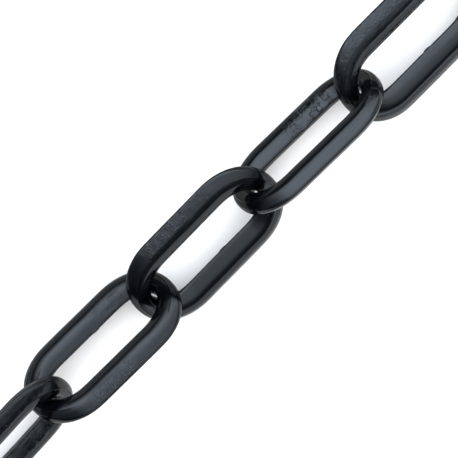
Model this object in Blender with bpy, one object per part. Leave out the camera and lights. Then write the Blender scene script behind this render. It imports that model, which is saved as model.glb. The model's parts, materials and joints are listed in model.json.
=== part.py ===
"""A cut length of long-link plastic chain, lying straight on a level floor.

Frame: +X along the chain, +Z up, origin at the middle of the underside. Sizes in metres.
Each link is one closed ring: two straight limbs joined by two bows. Across a limb the bar is
lens-shaped, with a blunt ridge towards the inside and the outside of the link, four broad
slanted faces and a narrow flat flank on each side. On the bows it is narrower and rounder.
Neighbouring links lean to opposite sides, each with its lower limb on the floor. A link swings
about the end bow of the one before it.
"""
import bpy
import bmesh
import math
from mathutils import Matrix, Vector

MM = 0.001

# Chain
LINK_COUNT = 20
PITCH = 51.0 * MM            # from one seat to the next
SEAT_GAP = 0.55 * MM         # clear space between two seated bows

# Link
LIMB_SPACING = 27.2 * MM     # between the middle lines of the two limbs
BOW_DEPTH = 15.3 * MM        # from the end of a straight limb to the tip, on the middle line
BOW_STEPS = 12

# Section of the bar: one quarter of the outline from the ridge (in the plane of the link) to
# the flank (across it), in millimetres
LIMB_QUARTER = ((6.35, 0.0), (5.8, 0.7), (3.45, 2.9), (1.35, 4.0))
BOW_QUARTER = ((3.9, 0.0), (3.4, 1.85), (2.45, 2.95), (1.35, 3.75))

# Lie of the chain. A link that rests on the broad face of its lower limb leans by REST_LEAN
# and has its middle at REST_HEIGHT above the floor.
FACE_OUT, FACE_UP = LIMB_QUARTER[1]
REST_LEAN = 90.0 - math.degrees(math.atan2(FACE_OUT - LIMB_QUARTER[2][0], LIMB_QUARTER[2][1] - FACE_UP))
REST_HEIGHT = ((LIMB_SPACING / 2 + FACE_OUT * MM) * math.sin(math.radians(REST_LEAN))
               + FACE_UP * MM * math.cos(math.radians(REST_LEAN)))

# The last five links lie less evenly: lean and heading of each, in degrees, and the height of
# the seats from the start of the first of them to the free end of the last
UNEVEN_FIRST = 16
UNEVEN_LEAN = (65.0, 42.5, 41.0, 58.0, 33.0)
UNEVEN_HEADING = (2.5, -0.7, 0.6, -1.1, 0.1)
UNEVEN_SEATS = (18.1 * MM, 18.1 * MM, 12.5 * MM, 16.9 * MM, 16.95 * MM, 10.5 * MM)

SHARP_ANGLE = 25.0


def section(limb_share):
    """Outline of the bar between the bow section (0) and the limb section (1)."""
    quarter = [((1 - limb_share) * b[0] + limb_share * a[0],
                (1 - limb_share) * b[1] + limb_share * a[1])
               for a, b in zip(LIMB_QUARTER, BOW_QUARTER)]
    upper = quarter + [(-a, b) for a, b in reversed(quarter)]
    lower = [(a, -b) for a, b in reversed(upper)][1:-1]
    return [(a * MM, b * MM) for a, b in upper + lower]


def link_stations():
    """Rings of points round one link, in its own axes: x along, y across in plane, z normal."""
    radius = LIMB_SPACING / 2
    tip = PITCH / 2 + SEAT_GAP / 2 + BOW_QUARTER[0][0] * MM
    start = tip - BOW_DEPTH
    rings = []
    for end in (1, -1):
        for step in range(BOW_STEPS + 1):
            angle = math.pi * (step / BOW_STEPS - 0.5)
            along, across = BOW_DEPTH * math.cos(angle), radius * math.sin(angle)
            out_x, out_y = math.cos(angle) / BOW_DEPTH, math.sin(angle) / radius
            size = math.hypot(out_x, out_y)
            out_x, out_y = out_x / size, out_y / size
            rings.append([(end * (start + along + a * out_x), end * (across + a * out_y), b)
                          for a, b in section(math.sin(angle) ** 2)])
    return rings


def chain_frames():
    """Start seat and axes (along, across in plane, normal) of every link, from the first on."""
    heights = [REST_HEIGHT] * (LINK_COUNT + 1)
    for i, height in enumerate(UNEVEN_SEATS):
        heights[UNEVEN_FIRST - 1 + i] = height
    seat = Vector((0.0, 0.0, heights[0]))
    frames = []
    for k in range(LINK_COUNT):
        lean, heading = REST_LEAN, 0.0
        if 0 <= k - (UNEVEN_FIRST - 1) < len(UNEVEN_LEAN):
            lean = UNEVEN_LEAN[k - UNEVEN_FIRST + 1]
            heading = UNEVEN_HEADING[k - UNEVEN_FIRST + 1]
        roll = math.radians(lean if k % 2 else -lean)
        turn = math.radians(heading)
        rise = math.asin((heights[k + 1] - heights[k]) / PITCH)
        along = Vector((math.cos(turn) * math.cos(rise), math.sin(turn) * math.cos(rise), math.sin(rise)))
        level = Vector((-math.sin(turn), math.cos(turn), 0.0))
        across = level * math.cos(roll) + along.cross(level) * math.sin(roll)
        frames.append((seat.copy(), along, across, along.cross(across)))
        seat = seat + along * PITCH
    return frames


def link_material(name, shade):
    material = bpy.data.materials.new(name)
    material.use_nodes = True
    shader = material.node_tree.nodes["Principled BSDF"]
    shader.inputs["Base Color"].default_value = (0.012 * shade, 0.014 * shade, 0.017 * shade, 1.0)
    shader.inputs["Roughness"].default_value = 0.24
    shader.inputs["Metallic"].default_value = 0.0
    return material


def build_link(number, placement, origin):
    """One link as a closed ring; its origin is the middle of the bow it swings about."""
    rings = link_stations()
    mesh = bpy.data.meshes.new(f"link_{number:02d}")
    work = bmesh.new()
    points = [[work.verts.new(placement @ Vector(p) - origin) for p in ring] for ring in rings]
    count = len(points[0])
    for i, ring in enumerate(points):
        after = points[(i + 1) % len(points)]
        for j in range(count):
            work.faces.new((ring[j], after[j], after[(j + 1) % count], ring[(j + 1) % count]))
    bmesh.ops.recalc_face_normals(work, faces=work.faces)
    work.to_mesh(mesh)
    work.free()
    mesh.shade_smooth()
    mesh.set_sharp_from_angle(angle=math.radians(SHARP_ANGLE))
    link = bpy.data.objects.new(f"link_{number:02d}", mesh)
    link.location = origin
    bpy.context.scene.collection.objects.link(link)
    link.data.materials.append(link_material(f"plastic_{number:02d}", 1.0 + 0.1 * (number % 3)))
    return link


def build():
    for thing in list(bpy.data.objects):
        bpy.data.objects.remove(thing, do_unlink=True)
    frames = chain_frames()
    bar = SEAT_GAP / 2 + BOW_QUARTER[0][0] * MM     # from a seat to the middle line of the bow
    links = []
    for k, (seat, along, across, normal) in enumerate(frames):
        origin = seat - along * bar
        if k:
            origin = seat + frames[k - 1][1] * bar
        axes = Matrix((along, across, normal)).transposed().to_4x4()
        placement = Matrix.Translation(seat + along * (PITCH / 2)) @ axes
        links.append(build_link(k + 1, placement, origin))
    corners = [link.location + v.co for link in links for v in link.data.vertices]
    low = [min(c[i] for c in corners) for i in range(3)]
    high = [max(c[i] for c in corners) for i in range(3)]
    middle = Vector(((low[0] + high[0]) / 2, (low[1] + high[1]) / 2, low[2]))
    for link in links:
        link.location -= middle


build()
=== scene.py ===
import json
import math
import random

import bmesh
import bpy
import numpy as np
from bpy.props import FloatProperty, FloatVectorProperty, IntProperty, PointerProperty
from bpy.types import Operator, Panel, PropertyGroup
from mathutils import Matrix, Vector

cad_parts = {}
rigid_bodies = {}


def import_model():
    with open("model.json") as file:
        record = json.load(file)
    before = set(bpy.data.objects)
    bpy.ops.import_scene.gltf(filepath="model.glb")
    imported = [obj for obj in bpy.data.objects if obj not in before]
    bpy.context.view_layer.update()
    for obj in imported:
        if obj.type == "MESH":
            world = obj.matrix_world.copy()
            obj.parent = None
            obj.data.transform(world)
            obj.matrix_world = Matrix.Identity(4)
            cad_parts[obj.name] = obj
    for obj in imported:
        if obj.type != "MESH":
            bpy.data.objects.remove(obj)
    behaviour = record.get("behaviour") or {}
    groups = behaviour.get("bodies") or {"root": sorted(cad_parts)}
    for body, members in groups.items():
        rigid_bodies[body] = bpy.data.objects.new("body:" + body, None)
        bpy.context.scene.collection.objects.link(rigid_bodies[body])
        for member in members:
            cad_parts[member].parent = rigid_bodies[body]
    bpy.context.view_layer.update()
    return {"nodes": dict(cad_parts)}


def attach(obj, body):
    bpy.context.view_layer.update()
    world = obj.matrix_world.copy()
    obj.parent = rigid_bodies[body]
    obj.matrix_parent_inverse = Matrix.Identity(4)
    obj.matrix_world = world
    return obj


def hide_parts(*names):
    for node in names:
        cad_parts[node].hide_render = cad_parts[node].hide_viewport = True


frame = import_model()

bl_info = {
    "name": "Long-link plastic chain",
    "version": (1, 0, 0),
    "blender": (4, 5, 0),
    "location": "3D View > Sidebar > Chain",
    "description": "Moulded black links laid along a packed frame, with their stage",
    "category": "Object",
}

MM = 0.001
LINK_NAMES = sorted(frame["nodes"])
AIMED_LINK = LINK_NAMES[-3]
OUTLINE_CORNERS = 14                       # corners of the bar's outline before rounding
RIDGES, SHOULDERS, CROWNS, FLANKS = (0, 7), (1, 6, 8, 13), (2, 5, 9, 12), (3, 4, 10, 11)
CORNER_TURN = 2 * math.pi / OUTLINE_CORNERS
STAND_UP = Matrix(((0, 1, 0), (0, 0, 1), (1, 0, 0))).to_euler()   # a flat circle stood across the bar


# Strength of the dome of light, by degrees from overhead across the chain and by degrees along it
LIGHT_ACROSS = ((-90, 2.0), (-82, 1.6), (-75, 0.45), (-67, 0.14), (-53, 0.14), (-44, 0.45), (-34, 0.95), (-10, 1.35),
                (2, 1.45), (13, 2.0), (24, 2.7), (36, 3.1), (46, 2.9), (54, 2.2), (63, 1.1), (72, 0.3), (80, 0.08),
                (90, 0.06))
LIGHT_ALONG = ((-90, 0.08), (-60, 0.08), (-42, 0.12), (-30, 0.25), (-21, 0.55), (-12, 0.92), (0, 1.05), (18, 1.05),
               (36, 1.0), (52, 0.85), (70, 0.7), (90, 0.6))

# Where the surface is not smooth: link number, side (1 is +Y), start and end along the link in millimetres, then how
# much it is grained, streaked lengthwise and rippled across
ROUGH_PATCHES = (
    (16, 1, -32, 32, 0.35, 0.2, 0.0), (16, -1, -32, 32, 0.55, 0.0, 0.3),
    (17, -1, -17, 4, 1.0, 0.1, 0.0), (17, -1, 4, 14, 0.35, 0.0, 0.0), (17, 1, 5, 18, 0.85, 0.0, 0.2),
    (18, 1, -17, 5, 1.0, 0.2, 0.0), (18, 1, 4, 18, 0.65, 0.1, 0.0),
    (19, 1, -3, 18, 0.45, 0.0, 1.0), (19, -1, 12, 28, 0.1, 0.6, 0.0),
    (20, 1, -18, 32, 0.85, 0.3, 0.1), (20, 1, -32, -12, 0.4, 1.0, 0.0),
)
ROUGH_FIRST = 16                           # links before this one have their patches drawn from a seed
PATCH_SEED = 41


# Settings

class ChainLinkShape(PropertyGroup):
    """Sizes of one moulded link."""

    pitch: FloatProperty(
        name="Pitch", description="From one seat to the next", default=0.051, unit="LENGTH")
    seat_gap: FloatProperty(
        name="Seat gap", description="Clear space between two seated bows", default=0.00055, unit="LENGTH")
    limb_spacing: FloatProperty(
        name="Limb spacing", description="Between the middle lines of the two limbs",
        default=0.0272, unit="LENGTH")
    bow_depth: FloatProperty(
        name="Bow depth", description="From the end of a straight limb to the tip, on the middle line",
        default=0.0153, unit="LENGTH")
    limb_ridge: FloatProperty(
        name="Limb ridge", description="Middle of the limb to its parting ridge", default=0.00635, unit="LENGTH")
    limb_shoulder: FloatVectorProperty(
        name="Limb shoulder", description="Corner beside the ridge, in plane and across",
        default=(0.0058, 0.0007), size=2, unit="LENGTH")
    limb_crown: FloatVectorProperty(
        name="Limb crown", description="Corner between the broad face and the crown, in plane and across",
        default=(0.00345, 0.0029), size=2, unit="LENGTH")
    limb_flank: FloatVectorProperty(
        name="Limb flank", description="Corner of the flat flank, in plane and across",
        default=(0.00135, 0.0040), size=2, unit="LENGTH")
    bow_ridge: FloatProperty(
        name="Bow ridge", description="Middle of the bow to its parting ridge", default=0.0039, unit="LENGTH")
    bow_shoulder: FloatVectorProperty(
        name="Bow shoulder", description="Corner beside the ridge, in plane and across",
        default=(0.0034, 0.00185), size=2, unit="LENGTH")
    bow_crown: FloatVectorProperty(
        name="Bow crown", description="Corner between the broad face and the crown, in plane and across",
        default=(0.00245, 0.00295), size=2, unit="LENGTH")
    bow_flank: FloatVectorProperty(
        name="Bow flank", description="Corner of the flat flank, in plane and across",
        default=(0.00135, 0.00375), size=2, unit="LENGTH")
    crown_round: FloatProperty(
        name="Crown rounding", description="How far the rounding reaches from a crown corner",
        default=0.0011, unit="LENGTH")
    flank_round: FloatProperty(
        name="Flank rounding", description="How far the rounding reaches from a flank corner",
        default=0.00125, unit="LENGTH")
    shoulder_round: FloatProperty(
        name="Shoulder rounding", description="How far the rounding reaches from a shoulder corner",
        default=0.0004, unit="LENGTH")
    flash_width: FloatProperty(
        name="Flash width", description="Half the width of the parting line", default=0.00028, unit="LENGTH")
    flash_height: FloatProperty(
        name="Flash height", description="How far the parting line stands up", default=0.00014, unit="LENGTH")
    gate_place: FloatProperty(
        name="Gate place", description="Where the gate was cut off, along the inside of the lower limb",
        default=0.0025, unit="LENGTH")
    gate_length: FloatProperty(
        name="Gate length", description="Length of the stub left by the gate", default=0.0022, unit="LENGTH")
    gate_height: FloatProperty(
        name="Gate height", description="How far that stub stands up", default=0.00032, unit="LENGTH")
    lumps: FloatProperty(
        name="Lumps", description="How much the plastic has sunk in places", default=0.00012, unit="LENGTH")
    lump_size: FloatProperty(
        name="Lump size", description="Size of the sunken places", default=0.009, unit="LENGTH")
    bow_steps: IntProperty(
        name="Bow steps", description="Outlines round each bow", default=24, min=8, max=48)
    limb_steps: IntProperty(
        name="Limb steps", description="Outlines along each limb", default=16, min=4, max=48)


class PlasticFinish(PropertyGroup):
    """Colours and surface of the moulded plastic."""

    deep_colour: FloatVectorProperty(
        name="Deep colour", description="Colour of the plastic where it is smooth",
        default=(0.0009, 0.0013, 0.0019), size=3, subtype="COLOR")
    worn_colour: FloatVectorProperty(
        name="Worn colour", description="Colour where the surface is rubbed or mottled",
        default=(0.0045, 0.0055, 0.007), size=3, subtype="COLOR")
    fleck_colour: FloatVectorProperty(
        name="Fleck colour", description="Colour of the fine flecks on a mottled face",
        default=(0.030, 0.036, 0.044), size=3, subtype="COLOR")
    speck_colour: FloatVectorProperty(
        name="Speck colour", description="Colour of the few pale specks of dust",
        default=(0.30, 0.32, 0.34), size=3, subtype="COLOR")
    smooth_roughness: FloatProperty(
        name="Smooth roughness", description="Roughness of a smooth face", default=0.1, subtype="FACTOR")
    grained_roughness: FloatProperty(
        name="Grained roughness", description="Roughness of a mottled face", default=0.26, subtype="FACTOR")
    grain_size: FloatProperty(
        name="Grain size", description="Size of the mottled grain", default=0.00055, unit="LENGTH")
    grain_depth: FloatProperty(
        name="Grain depth", description="Depth of the mottled grain", default=0.0002, unit="LENGTH")
    streak_width: FloatProperty(
        name="Streak width", description="Width of the lengthwise streaks", default=0.0005, unit="LENGTH")
    ripple_width: FloatProperty(
        name="Ripple width", description="Distance between the ripples across the bar", default=0.0011, unit="LENGTH")
    swell_size: FloatVectorProperty(
        name="Swell size", description="Size of the slow unevenness of a moulded face, along and across",
        default=(0.016, 0.004), size=2, unit="LENGTH")
    swell_depth: FloatProperty(
        name="Swell depth", description="Depth of that unevenness", default=0.00014, unit="LENGTH")


class StudioStage(PropertyGroup):
    """Floor, lights and camera."""

    floor_shade: FloatProperty(
        name="Floor shade", description="Lightness of the floor", default=0.88, subtype="FACTOR")
    # Painted shade: in reflections the floor gets a darker colour, one value for the lit -Y side and one for the
    # shaded +Y side
    painted_floor_reflection_shade: FloatVectorProperty(
        name="Mirrored floor", description="Lightness of the floor in reflections, on the lit and shaded side",
        default=(0.42, 0.17), size=2)
    floor_light: FloatProperty(
        name="Floor light", description="Strength of the even light that whitens the floor", default=2.4)
    light_colour: FloatVectorProperty(
        name="Light colour", description="Colour of the dome of light", default=(0.86, 1.0, 1.15), size=3)
    view_width: FloatProperty(
        name="View width", description="What the picture spans at the chain", default=0.1608, unit="LENGTH")
    camera_height: FloatProperty(
        name="Camera height", description="Camera above the chain", default=1.27, unit="LENGTH")
    camera_turn: FloatProperty(
        name="Camera turn", description="Turn of the picture over the chain",
        default=math.radians(-45.08), subtype="ANGLE")
    aim: FloatVectorProperty(
        name="Aim", description="Middle of the picture, along and across from the middle of the link beside it",
        default=(0.00968, -0.00233, 0.0), size=3, subtype="TRANSLATION")


# Modelling helpers

def take(thing):
    """Makes one object the only selected and the active one."""
    for other in bpy.context.view_layer.objects:
        other.select_set(False)
    bpy.context.view_layer.objects.active = thing
    thing.select_set(True)


def pick(thing, kind, wanted):
    """In edit mode, selects the vertices, edges or faces that pass a test, and nothing else."""
    bpy.ops.mesh.select_all(action="DESELECT")
    bpy.ops.mesh.select_mode(type=kind)
    work = bmesh.from_edit_mesh(thing.data)
    for part in {"VERT": work.verts, "EDGE": work.edges, "FACE": work.faces}[kind]:
        if wanted(part):
            part.select_set(True)
    work.select_flush_mode()
    bmesh.update_edit_mesh(thing.data)


def new_mesh(name):
    thing = bpy.data.objects.new(name, bpy.data.meshes.new(name))
    bpy.context.scene.collection.objects.link(thing)
    take(thing)
    return thing


# The link

def outline_stations(shape):
    """Where each outline of the bar stands: middle, turn of its outer side, and share of limb section."""
    radius = shape.limb_spacing / 2
    tip = shape.pitch / 2 + shape.seat_gap / 2 + shape.bow_ridge
    start = tip - shape.bow_depth
    stations = []
    for end in (1, -1):
        for step in range(shape.bow_steps + 1):
            angle = math.pi * (step / shape.bow_steps - 0.5)
            middle = Vector((end * (start + shape.bow_depth * math.cos(angle)), end * radius * math.sin(angle), 0))
            turn = math.atan2(end * math.sin(angle) / radius, end * math.cos(angle) / shape.bow_depth)
            stations.append((middle, turn, math.sin(angle) ** 2))
        for step in range(1, shape.limb_steps):
            along = start * (1 - 2 * step / shape.limb_steps)
            stations.append((Vector((end * along, end * radius, 0)), end * math.pi / 2, 1.0))
    return stations


def add_outline(link, shape, number, middle, turn, limb_share):
    """Adds one outline of the bar: a circle's corners are spread to the ridges, shoulders and flanks."""
    bpy.ops.mesh.primitive_circle_add(vertices=OUTLINE_CORNERS, radius=1.0, rotation=STAND_UP)
    first = number * OUTLINE_CORNERS

    def mixed(bow, limb):
        return bow + (limb - bow) * limb_share

    ridge = mixed(shape.bow_ridge, shape.limb_ridge) - shape.flash_height
    spreads = [(RIDGES, ridge, ridge)]
    for corners, bow, limb, angle in (
            (SHOULDERS, shape.bow_shoulder, shape.limb_shoulder, CORNER_TURN),
            (CROWNS, shape.bow_crown, shape.limb_crown, 2 * CORNER_TURN),
            (FLANKS, shape.bow_flank, shape.limb_flank, 3 * CORNER_TURN)):
        spreads.append((corners, mixed(bow[0], limb[0]) / math.cos(angle), mixed(bow[1], limb[1]) / math.sin(angle)))
    for corners, out, up in spreads:
        wanted = {first + c for c in corners}
        pick(link, "VERT", lambda v: v.index in wanted)
        bpy.ops.transform.resize(value=(out, 1.0, up), center_override=(0, 0, 0))
    pick(link, "VERT", lambda v: v.index >= first)
    bpy.ops.transform.rotate(value=-turn, orient_axis="Z", center_override=(0, 0, 0))
    bpy.ops.transform.translate(value=middle)


def weigh_corners(link, corners, share):
    """Marks the lengthwise edges through some corners of the outline for the bevel."""
    def lengthwise(edge):
        a, b = (v.index % OUTLINE_CORNERS for v in edge.verts)
        return a == b and a in corners
    pick(link, "EDGE", lengthwise)
    bpy.ops.transform.edge_bevelweight(value=share)


def finish_with(thing, kind, **settings):
    """Adds a modifier and applies it."""
    modifier = thing.modifiers.new(kind.title(), kind)
    for name, value in settings.items():
        setattr(modifier, name, value)
    bpy.ops.object.modifier_apply(modifier=modifier.name)


def model_link(shape):
    """One link in its own axes: x along, y across in plane, z up from its plane."""
    link = new_mesh("link_pattern")
    bpy.ops.object.mode_set(mode="EDIT")
    for number, (middle, turn, limb_share) in enumerate(outline_stations(shape)):
        add_outline(link, shape, number, middle, turn, limb_share)
    bpy.ops.mesh.select_all(action="SELECT")
    bpy.ops.mesh.select_mode(type="EDGE")
    bpy.ops.mesh.bridge_edge_loops(type="CLOSED", use_merge=False, twist_offset=0)
    bpy.ops.mesh.select_all(action="SELECT")
    bpy.ops.mesh.normals_make_consistent(inside=False)
    weigh_corners(link, FLANKS, 1.0)
    weigh_corners(link, CROWNS, shape.crown_round / shape.flank_round)
    weigh_corners(link, SHOULDERS, shape.shoulder_round / shape.flank_round)
    weigh_corners(link, RIDGES, shape.flash_width / shape.flank_round)
    bpy.ops.object.mode_set(mode="OBJECT")
    finish_with(link, "BEVEL", width=shape.flank_round, limit_method="WEIGHT", segments=3,
                use_clamp_overlap=False)
    bpy.ops.object.mode_set(mode="EDIT")
    pick(link, "VERT", lambda v: abs(v.co.z) < shape.flash_width / 2)
    bpy.ops.transform.shrink_fatten(value=-shape.flash_height)
    bpy.ops.object.mode_set(mode="OBJECT")
    finish_with(link, "SUBSURF", levels=1, render_levels=1)
    inner = shape.limb_ridge - shape.limb_spacing / 2
    bpy.ops.object.mode_set(mode="EDIT")
    pick(link, "VERT", lambda v: (abs(v.co.x - shape.gate_place) < shape.gate_length / 2 and abs(v.co.z) < 0.0004
                                  and abs(v.co.y - inner) < 0.0004))
    bpy.ops.transform.translate(value=(0, shape.gate_height, 0))
    bpy.ops.object.mode_set(mode="OBJECT")
    bpy.ops.object.shade_smooth()
    return link


def link_place(node):
    """Where a CAD link lies: a matrix from a link's own axes to the row frame, its lower limb on its -Y side."""
    points = np.unique(np.round([v.co for v in node.data.vertices], 6), axis=0)
    middle = points.mean(axis=0)
    axes = np.linalg.eigh(np.cov((points - middle).T))[1]
    along, across = Vector(axes[:, 2]), Vector(axes[:, 1])
    if along.x < 0:
        along.negate()
    if across.z < 0:
        across.negate()
    turned = Matrix((along, across, along.cross(across))).transposed().to_4x4()
    return Matrix.Translation(Vector(middle)) @ turned


def rough_patches(number):
    """The patches of one link: those listed, or else some drawn from the seed."""
    if number >= ROUGH_FIRST:
        return [patch[1:] for patch in ROUGH_PATCHES if patch[0] == number]
    draw = random.Random(PATCH_SEED * 100 + number)
    patches = []
    for side in (1, -1):
        for _ in range(draw.choice((0, 1, 1, 2))):
            start = draw.uniform(-30, 10)
            patches.append((side, start, start + draw.uniform(10, 30), draw.uniform(0.3, 1.0),
                            draw.choice((0, 0, 0.3, 1.0)), draw.choice((0, 0, 0.2, 0.9))))
    return patches


def mark_surface(link, shape, place, number):
    """Stores where each point lies on the bar's section, and how rough the surface is there."""
    mesh = link.data
    size = len(mesh.vertices)
    points = np.empty(size * 3)
    mesh.vertices.foreach_get("co", points)
    own = (points.reshape(-1, 3) - np.array(place.translation)) @ np.array(place.to_3x3())
    radius = shape.limb_spacing / 2
    start = shape.pitch / 2 + shape.seat_gap / 2 + shape.bow_ridge - shape.bow_depth
    beyond = np.maximum(np.abs(own[:, 0]) - start, 0)
    out = (np.hypot(beyond / shape.bow_depth, own[:, 1] / radius) - 1) * radius
    section = np.stack([out, own[:, 2], np.full(size, number * 0.05)], axis=1)
    side = np.sign(own[:, 1] * place.to_3x3()[1][1])
    along = own[:, 0] / MM
    rough = np.zeros((size, 3))
    for patch_side, low, high, *amounts in rough_patches(number):
        share = np.clip((along - low) / 3 + 0.5, 0, 1) * np.clip((high - along) / 3 + 0.5, 0, 1)
        share = share * np.clip(own[:, 1] * np.sign(place.to_3x3()[1][1]) * patch_side / (3 * MM) + 0.5, 0, 1)
        rough = np.maximum(rough, share[:, None] * np.array(amounts))
    for name, values in (("bar_section", section), ("surface_wear", rough)):
        layer = mesh.attributes.new(name, "FLOAT_VECTOR", "POINT")
        layer.data.foreach_set("vector", values.astype(np.float32).ravel())


# Materials

def wire(tree, start, end):
    tree.links.new(start, end)


def add_node(tree, kind, **values):
    """Adds a shader node; a value's name is an input of the node, or else one of its settings."""
    node = tree.nodes.new(kind)
    for name, value in values.items():
        socket = name.replace("_", " ").title()
        if socket in node.inputs:
            node.inputs[socket].default_value = value
        else:
            setattr(node, name, value)
    return node


def math_node(tree, operation, *values):
    """A sum, product or other step on sockets or numbers; gives its output."""
    node = add_node(tree, "ShaderNodeMath", operation=operation)
    for socket, value in zip(node.inputs, values):
        if isinstance(value, (int, float)):
            socket.default_value = value
        else:
            wire(tree, value, socket)
    return node.outputs["Value"]


def scaled_place(tree, parts, sizes):
    """A vector of three sockets, each divided by a length."""
    joined = add_node(tree, "ShaderNodeCombineXYZ")
    for socket, part, size in zip(joined.inputs, parts, sizes):
        wire(tree, math_node(tree, "DIVIDE", part, size), socket)
    return joined.outputs["Vector"]


def noise(tree, place, scale=1.0, detail=3.0, roughness=0.55, w=None):
    node = add_node(tree, "ShaderNodeTexNoise", scale=scale, detail=detail, roughness=roughness)
    if w is not None:
        node.noise_dimensions = "4D"
        wire(tree, w, node.inputs["W"])
    wire(tree, place, node.inputs["Vector"])
    return node.outputs["Fac"]


def stepped(tree, value, low, high, least=0.0, most=1.0):
    """Eases from least to most while the value goes from low to high."""
    node = add_node(tree, "ShaderNodeMapRange", interpolation_type="SMOOTHSTEP")
    for name, number in (("From Min", low), ("From Max", high), ("To Min", least), ("To Max", most)):
        node.inputs[name].default_value = number
    wire(tree, value, node.inputs["Value"])
    return node.outputs["Result"]


def blended(tree, share, first, second):
    """Mixes two colours."""
    node = add_node(tree, "ShaderNodeMix", data_type="RGBA")
    wire(tree, share, node.inputs[0])
    for socket, colour in ((node.inputs[6], first), (node.inputs[7], second)):
        if isinstance(colour, bpy.types.NodeSocket):
            wire(tree, colour, socket)
        else:
            socket.default_value = (*colour, 1)
    return node.outputs[2]


def split(tree, vector):
    node = add_node(tree, "ShaderNodeSeparateXYZ")
    wire(tree, vector, node.inputs[0])
    return node.outputs["X"], node.outputs["Y"], node.outputs["Z"]


def plastic_material(finish):
    """Glossy black plastic: grained, streaked and rippled patches, slow swells, specks of dust."""
    material = bpy.data.materials.new("glossy_black_plastic")
    material.use_nodes = True
    tree = material.node_tree
    shader = tree.nodes["Principled BSDF"]
    place = add_node(tree, "ShaderNodeTexCoord").outputs["Object"]
    along, level, _ = split(tree, place)
    out, up, shift = split(tree, add_node(tree, "ShaderNodeAttribute", attribute_name="bar_section").outputs["Vector"])
    grained, streaked, rippled = split(
        tree, add_node(tree, "ShaderNodeAttribute", attribute_name="surface_wear").outputs["Vector"])

    # Patchy edges of the worn places
    cloud = noise(tree, place, scale=330.0, detail=3.0)
    height = math_node(tree, "ABSOLUTE", up)
    broad = math_node(tree, "MULTIPLY", stepped(tree, height, 0.0002, 0.0007), stepped(tree, height, 0.0033, 0.0037, 1, 0))
    grained = math_node(tree, "MULTIPLY", math_node(tree, "MULTIPLY", grained, broad),
                        stepped(tree, cloud, 0.38, 0.58, 0.3, 1.0))
    streaked = math_node(tree, "MULTIPLY", streaked, stepped(tree, cloud, 0.40, 0.60, 0.4, 1.0))
    rippled = math_node(tree, "MULTIPLY", rippled, stepped(tree, cloud, 0.42, 0.58, 0.2, 1.0))

    # Relief, in metres
    swell = noise(tree, scaled_place(tree, (out, up, along), (finish.swell_size[1],) * 2 + (finish.swell_size[0],)),
                  detail=1.0, w=math_node(tree, "ADD", shift, math_node(tree, "DIVIDE", level, finish.swell_size[0])))
    grain = noise(tree, place, scale=1 / finish.grain_size, detail=2.5, roughness=0.6)
    lengthwise = scaled_place(tree, (out, up, along), (finish.streak_width, finish.streak_width, 0.014))
    streaks = noise(tree, lengthwise, detail=2.0, w=math_node(tree, "DIVIDE", level, 0.014))
    crosswise = scaled_place(tree, (along, level, up), (finish.ripple_width, 0.0035, 0.003))
    ripples = noise(tree, crosswise, detail=1.5)
    skin = noise(tree, place, scale=1 / 0.0011, detail=2.0)
    heights = [
        math_node(tree, "MULTIPLY", swell, finish.swell_depth),
        math_node(tree, "MULTIPLY", skin, 0.000006),
        math_node(tree, "MULTIPLY", math_node(tree, "MULTIPLY", grain, grained), finish.grain_depth),
        math_node(tree, "MULTIPLY", math_node(tree, "MULTIPLY", streaks, streaked), 0.00014),
        math_node(tree, "MULTIPLY", math_node(tree, "MULTIPLY", ripples, rippled), 0.00035),
    ]
    relief = heights[0]
    for height in heights[1:]:
        relief = math_node(tree, "ADD", relief, height)
    bump = add_node(tree, "ShaderNodeBump", strength=1.0, distance=1.0)
    wire(tree, relief, bump.inputs["Height"])
    wire(tree, bump.outputs["Normal"], shader.inputs["Normal"])

    # Colour: deep blue-black, paler where mottled, with a few specks
    mottle = noise(tree, place, scale=520.0, detail=5.0, roughness=0.65)
    worn = math_node(tree, "MULTIPLY", stepped(tree, mottle, 0.42, 0.66),
                     math_node(tree, "ADD", 0.25, math_node(tree, "MULTIPLY", grained, 0.75)))
    colour = blended(tree, worn, finish.deep_colour, finish.worn_colour)
    flecks = math_node(tree, "MULTIPLY", stepped(tree, grain, 0.54, 0.68), math_node(tree, "POWER", grained, 1.5))
    flecks = math_node(tree, "ADD", flecks, math_node(tree, "MULTIPLY", stepped(tree, ripples, 0.58, 0.72),
                                                      math_node(tree, "MULTIPLY", rippled, 0.8)))
    colour = blended(tree, flecks, colour, finish.fleck_colour)
    dust = add_node(tree, "ShaderNodeTexVoronoi", scale=1 / 0.0042)
    wire(tree, place, dust.inputs["Vector"])
    chosen = stepped(tree, split(tree, dust.outputs["Color"])[0], 0.93, 0.94)
    speck = math_node(tree, "MULTIPLY", chosen, stepped(tree, dust.outputs["Distance"], 0.03, 0.06, 1.0, 0.0))
    colour = blended(tree, speck, colour, finish.speck_colour)
    wire(tree, colour, shader.inputs["Base Color"])

    # Roughness
    patchy = noise(tree, place, scale=700.0, detail=3.0)
    sheen = stepped(tree, patchy, 0.35, 0.65, finish.smooth_roughness - 0.02, finish.smooth_roughness + 0.05)
    wornness = math_node(tree, "MULTIPLY", math_node(tree, "MAXIMUM", grained, math_node(tree, "MULTIPLY", streaked, 0.5)),
                         finish.grained_roughness - finish.smooth_roughness)
    wire(tree, math_node(tree, "ADD", sheen, wornness), shader.inputs["Roughness"])
    shader.inputs["IOR"].default_value = 1.49
    return material


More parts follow.
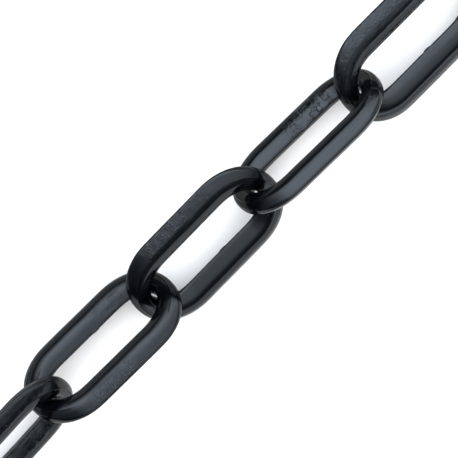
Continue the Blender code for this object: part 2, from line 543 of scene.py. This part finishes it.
def strength_ramp(tree, angle, stops, least, most):
    """A ramp of light strength over an angle in radians, from stops of degrees and strength."""
    share = add_node(tree, "ShaderNodeMapRange")
    share.inputs["From Min"].default_value = math.radians(least)
    share.inputs["From Max"].default_value = math.radians(most)
    wire(tree, angle, share.inputs["Value"])
    ramp = add_node(tree, "ShaderNodeValToRGB")
    ramp.color_ramp.interpolation = "EASE"
    points = ramp.color_ramp.elements
    while len(points) < len(stops):
        points.new(0.5)
    top = max(strength for _, strength in stops)
    for point, (degrees, strength) in zip(points, stops):
        point.position = (degrees - least) / (most - least)
        point.color = (strength / top, strength / top, strength / top, 1)
    wire(tree, share.outputs["Result"], ramp.inputs["Fac"])
    scaled = add_node(tree, "ShaderNodeMath", operation="MULTIPLY")
    scaled.inputs[1].default_value = top
    wire(tree, ramp.outputs["Color"], scaled.inputs[0])
    return scaled.outputs["Value"]


def studio_world(stage):
    """A soft dome of light over the table, brightest to one side of overhead and dim at one end; the matt floor
    is lit evenly."""
    world = bpy.data.worlds.new("studio_light")
    world.use_nodes = True
    tree = world.node_tree
    way = add_node(tree, "ShaderNodeTexCoord").outputs["Generated"]
    parts = add_node(tree, "ShaderNodeSeparateXYZ")
    wire(tree, way, parts.inputs[0])
    across = add_node(tree, "ShaderNodeMath", operation="ARCTAN2")
    wire(tree, parts.outputs["Y"], across.inputs[0])
    wire(tree, parts.outputs["Z"], across.inputs[1])
    along = add_node(tree, "ShaderNodeMath", operation="ARCSINE")
    wire(tree, parts.outputs["X"], along.inputs[0])
    total = add_node(tree, "ShaderNodeMath", operation="MULTIPLY")
    wire(tree, strength_ramp(tree, across.outputs["Value"], LIGHT_ACROSS, -90, 90), total.inputs[0])
    wire(tree, strength_ramp(tree, along.outputs["Value"], LIGHT_ALONG, -90, 90), total.inputs[1])
    background = tree.nodes["Background"]
    background.inputs["Color"].default_value = (*stage.light_colour, 1)
    wire(tree, total.outputs["Value"], background.inputs["Strength"])
    backdrop = add_node(tree, "ShaderNodeBackground", color=(0.93, 0.94, 0.96, 1), strength=1.0)
    even = add_node(tree, "ShaderNodeBackground", color=(1.0, 1.0, 1.0, 1), strength=stage.floor_light)
    path = add_node(tree, "ShaderNodeLightPath")
    result = background.outputs[0]
    for ray, light in (("Is Diffuse Ray", even), ("Is Camera Ray", backdrop)):
        mixed = add_node(tree, "ShaderNodeMixShader")
        wire(tree, path.outputs[ray], mixed.inputs[0])
        wire(tree, result, mixed.inputs[1])
        wire(tree, light.outputs[0], mixed.inputs[2])
        result = mixed.outputs[0]
    wire(tree, result, tree.nodes["World Output"].inputs["Surface"])
    return world


def floor_material(stage):
    """Matt pale paper; in reflections on the glossy plastic it has painted shade: a dimmer colour, darker still
    towards +Y.
    """
    material = bpy.data.materials.new("pale_floor")
    material.use_nodes = True
    tree = material.node_tree
    shader = tree.nodes["Principled BSDF"]
    place = add_node(tree, "ShaderNodeTexCoord").outputs["Object"]
    tooth = add_node(tree, "ShaderNodeTexNoise", scale=900.0, detail=4.0)
    wire(tree, place, tooth.inputs["Vector"])
    paper = add_node(tree, "ShaderNodeMapRange")
    paper.inputs["To Min"].default_value = stage.floor_shade - 0.01
    paper.inputs["To Max"].default_value = stage.floor_shade + 0.01
    wire(tree, tooth.outputs["Fac"], paper.inputs["Value"])
    parts = add_node(tree, "ShaderNodeSeparateXYZ")
    wire(tree, place, parts.inputs[0])
    # Painted shade: the floor's colour in reflections, dimmer than the paper and darkening from -Y to +Y
    painted_reflection_shade = add_node(tree, "ShaderNodeMapRange", interpolation_type="SMOOTHSTEP")
    painted_reflection_shade.inputs["From Min"].default_value = -0.015
    painted_reflection_shade.inputs["From Max"].default_value = 0.025
    painted_reflection_shade.inputs["To Min"].default_value = stage.painted_floor_reflection_shade[0]
    painted_reflection_shade.inputs["To Max"].default_value = stage.painted_floor_reflection_shade[1]
    wire(tree, parts.outputs["Y"], painted_reflection_shade.inputs["Value"])
    shade = add_node(tree, "ShaderNodeMix", data_type="FLOAT")
    wire(tree, add_node(tree, "ShaderNodeLightPath").outputs["Is Glossy Ray"], shade.inputs["Factor"])
    wire(tree, paper.outputs["Result"], shade.inputs["A"])
    wire(tree, painted_reflection_shade.outputs["Result"], shade.inputs["B"])
    wire(tree, shade.outputs["Result"], shader.inputs["Base Color"])
    shader.inputs["Roughness"].default_value = 0.7
    shader.inputs["Specular IOR Level"].default_value = 0.2
    return material


# Operators

class CHAIN_OT_add_links(Operator):
    """Models one link, copies it to every link of the frame and gives it its plastic"""

    bl_idname = "chain.add_links"
    bl_label = "Add moulded links"

    def execute(self, context):
        shape = context.scene.chain_link
        pattern = model_link(shape)
        plastic = plastic_material(context.scene.chain_plastic)
        clouds = bpy.data.textures.new("sunken_places", "CLOUDS")
        clouds.noise_scale = shape.lump_size
        for number, name in enumerate(LINK_NAMES, 1):
            link = bpy.data.objects.new("moulded_" + name, pattern.data.copy())
            context.scene.collection.objects.link(link)
            place = link_place(frame["nodes"][name])
            link.data.transform(place)
            take(link)
            mark_surface(link, shape, place, number)
            finish_with(link, "DISPLACE", texture=clouds, texture_coords="LOCAL", strength=shape.lumps, mid_level=1.0)
            link.data.materials.append(plastic)
            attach(link, name)
            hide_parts(name)
        bpy.data.objects.remove(pattern)
        return {"FINISHED"}


class CHAIN_OT_add_stage(Operator):
    """Adds the pale floor, the soft lights and the camera over the chain"""

    bl_idname = "chain.add_stage"
    bl_label = "Add floor, lights and camera"

    def execute(self, context):
        stage = context.scene.chain_stage
        bpy.ops.object.select_all(action="DESELECT")
        bpy.ops.mesh.primitive_plane_add(size=30.0, location=(0, 0, 0))
        floor = context.object
        floor.name = "studio_floor"
        floor.data.materials.append(floor_material(stage))
        context.scene.world = studio_world(stage)
        aim = link_place(frame["nodes"][AIMED_LINK]).translation + Vector(stage.aim)
        lens = bpy.data.cameras.new("camera")
        lens.sensor_width = 36.0
        lens.lens = 36.0 * stage.camera_height / stage.view_width
        lens.clip_start, lens.clip_end = 0.01, 100.0
        camera = bpy.data.objects.new("camera", lens)
        camera.location = aim + Vector((0, 0, stage.camera_height))
        camera.rotation_euler = (0, 0, stage.camera_turn)
        context.scene.collection.objects.link(camera)
        context.scene.camera = camera
        context.scene.view_settings.view_transform = "Standard"
        return {"FINISHED"}


class CHAIN_PT_panel(Panel):
    """Settings and steps of the chain"""

    bl_idname = "CHAIN_PT_panel"
    bl_label = "Plastic chain"
    bl_space_type = "VIEW_3D"
    bl_region_type = "UI"
    bl_category = "Chain"

    def draw(self, context):
        for group in ("chain_link", "chain_plastic", "chain_stage"):
            box = self.layout.box()
            settings = getattr(context.scene, group)
            for name in type(settings).__annotations__:
                box.prop(settings, name)
        self.layout.operator(CHAIN_OT_add_links.bl_idname)
        self.layout.operator(CHAIN_OT_add_stage.bl_idname)


CLASSES = (ChainLinkShape, PlasticFinish, StudioStage, CHAIN_OT_add_links, CHAIN_OT_add_stage, CHAIN_PT_panel)


def register():
    for cls in CLASSES:
        bpy.utils.register_class(cls)
    bpy.types.Scene.chain_link = PointerProperty(type=ChainLinkShape)
    bpy.types.Scene.chain_plastic = PointerProperty(type=PlasticFinish)
    bpy.types.Scene.chain_stage = PointerProperty(type=StudioStage)


def unregister():
    del bpy.types.Scene.chain_link, bpy.types.Scene.chain_plastic, bpy.types.Scene.chain_stage
    for cls in reversed(CLASSES):
        bpy.utils.unregister_class(cls)


def main():
    register()
    bpy.ops.chain.add_links()
    bpy.ops.chain.add_stage()


if __name__ == "__main__":
    main()
